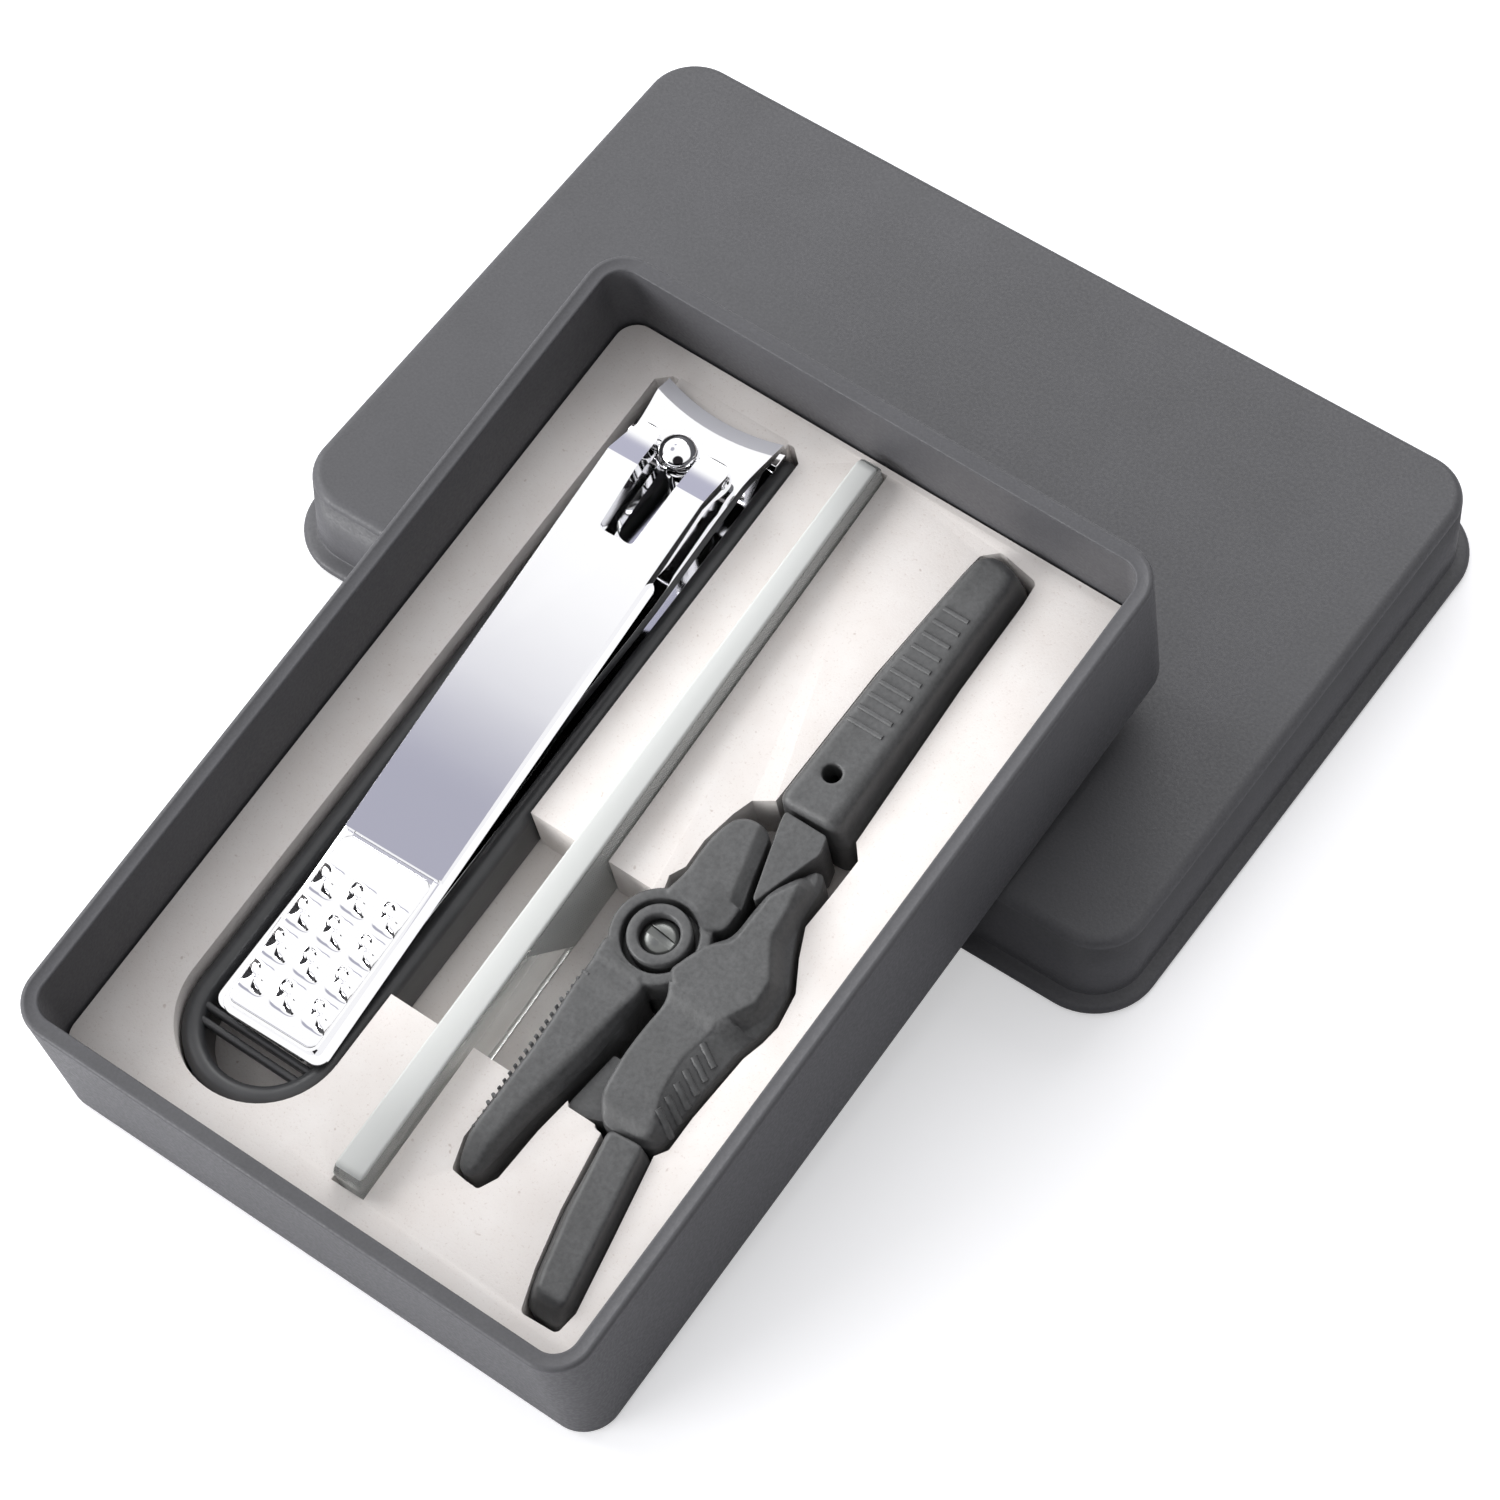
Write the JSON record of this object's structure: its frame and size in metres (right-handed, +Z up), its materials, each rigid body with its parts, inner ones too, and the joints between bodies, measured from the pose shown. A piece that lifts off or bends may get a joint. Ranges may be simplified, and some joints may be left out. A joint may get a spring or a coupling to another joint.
{
  "type": "manicure set case",
  "caption": "Open tray leaning on its own lid, with a foam insert that holds a lever nail clipper, a glass nail file and a sprung pocket nipper.",
  "frame": {"origin": "middle of the whole set's footprint, on the surface it stands on", "axes": "+Z up, +Y from the near end of the leaning tray towards the lid, +X along the lid's long edge to the right"},
  "size_m": [0.1164, 0.1578, 0.0414],
  "materials": {
    "case_plastic": "finely grained moulded plastic",
    "foam": "matte closed-cell foam with a fine speckle",
    "housing_plastic": "satin",
    "chrome": "polished chrome plate",
    "glass": "frosted edges, clear body, etched faces",
    "tool_plastic": "grained moulded plastic"
  },
  "bodies": {
    "lid": {"lid": "case_plastic"},
    "tray": {"tray": "case_plastic"},
    "foam": {"foam_insert": "foam", "foam_base": "foam"},
    "clipper": {"clipper_housing": "housing_plastic", "clipper_lower_arm": "chrome", "clipper_rear_rivet": "chrome"},
    "clipper_jaw": {"clipper_upper_arm": "chrome"},
    "clipper_post": {"clipper_post": "chrome"},
    "clipper_lever": {"clipper_lever": "chrome", "clipper_lever_pin": "chrome"},
    "file": {"glass_file": "glass"},
    "nipper": {"nipper_body": "tool_plastic", "nipper_stem": "tool_plastic", "nipper_bush": "tool_plastic", "nipper_washer": "chrome", "nipper_screw": "chrome", "nipper_spring": "chrome", "nipper_sheath": "tool_plastic", "nipper_tail": "tool_plastic"},
    "nipper_lever": {"nipper_lever": "tool_plastic"}
  },
  "joints": [
    {"name": "tray_lift", "type": "slide", "parent": "lid", "child": "tray", "axis": [0, 0, 1], "range_m": [0, 0.05]},
    {"name": "foam_lift", "type": "slide", "parent": "tray", "child": "foam", "axis": [-0.0037, -0.1726, 0.985], "range_m": [0, 0.03]},
    {"name": "clipper_lift", "type": "slide", "parent": "foam", "child": "clipper", "axis": [-0.0037, -0.1726, 0.985], "range_m": [0, 0.04]},
    {"name": "file_lift", "type": "slide", "parent": "foam", "child": "file", "axis": [-0.0037, -0.1726, 0.985], "range_m": [0, 0.04]},
    {"name": "nipper_lift", "type": "slide", "parent": "foam", "child": "nipper", "axis": [-0.0037, -0.1726, 0.985], "range_m": [0, 0.04]},
    {"name": "clipper_bite", "type": "hinge", "parent": "clipper", "child": "clipper_jaw", "pos_m": [-0.0146, -0.05222, 0.01163], "axis": [0.9998, -0.0216, 0], "range_deg": [-0.7, 0], "stiffness_Nm_per_rad": 20},
    {"name": "post_swivel", "type": "hinge", "parent": "clipper", "child": "clipper_post", "pos_m": [-0.01309, 0.01768, 0.02398], "axis": [-0.0037, -0.1726, 0.985], "range_deg": [-3.4, 0.5]},
    {"name": "lever_flip", "type": "hinge", "parent": "clipper_post", "child": "clipper_lever", "pos_m": [-0.01312, 0.01626, 0.03211], "axis": [-1, -0.0041, -0.0045], "range_deg": [0, 110]},
    {"name": "nipper_squeeze", "type": "hinge", "parent": "nipper", "child": "nipper_lever", "pos_m": [0.01701, -0.02888, 0.01594], "axis": [-0.0037, -0.1726, 0.985], "range_deg": [0, 2], "stiffness_Nm_per_rad": 1}
  ]
}
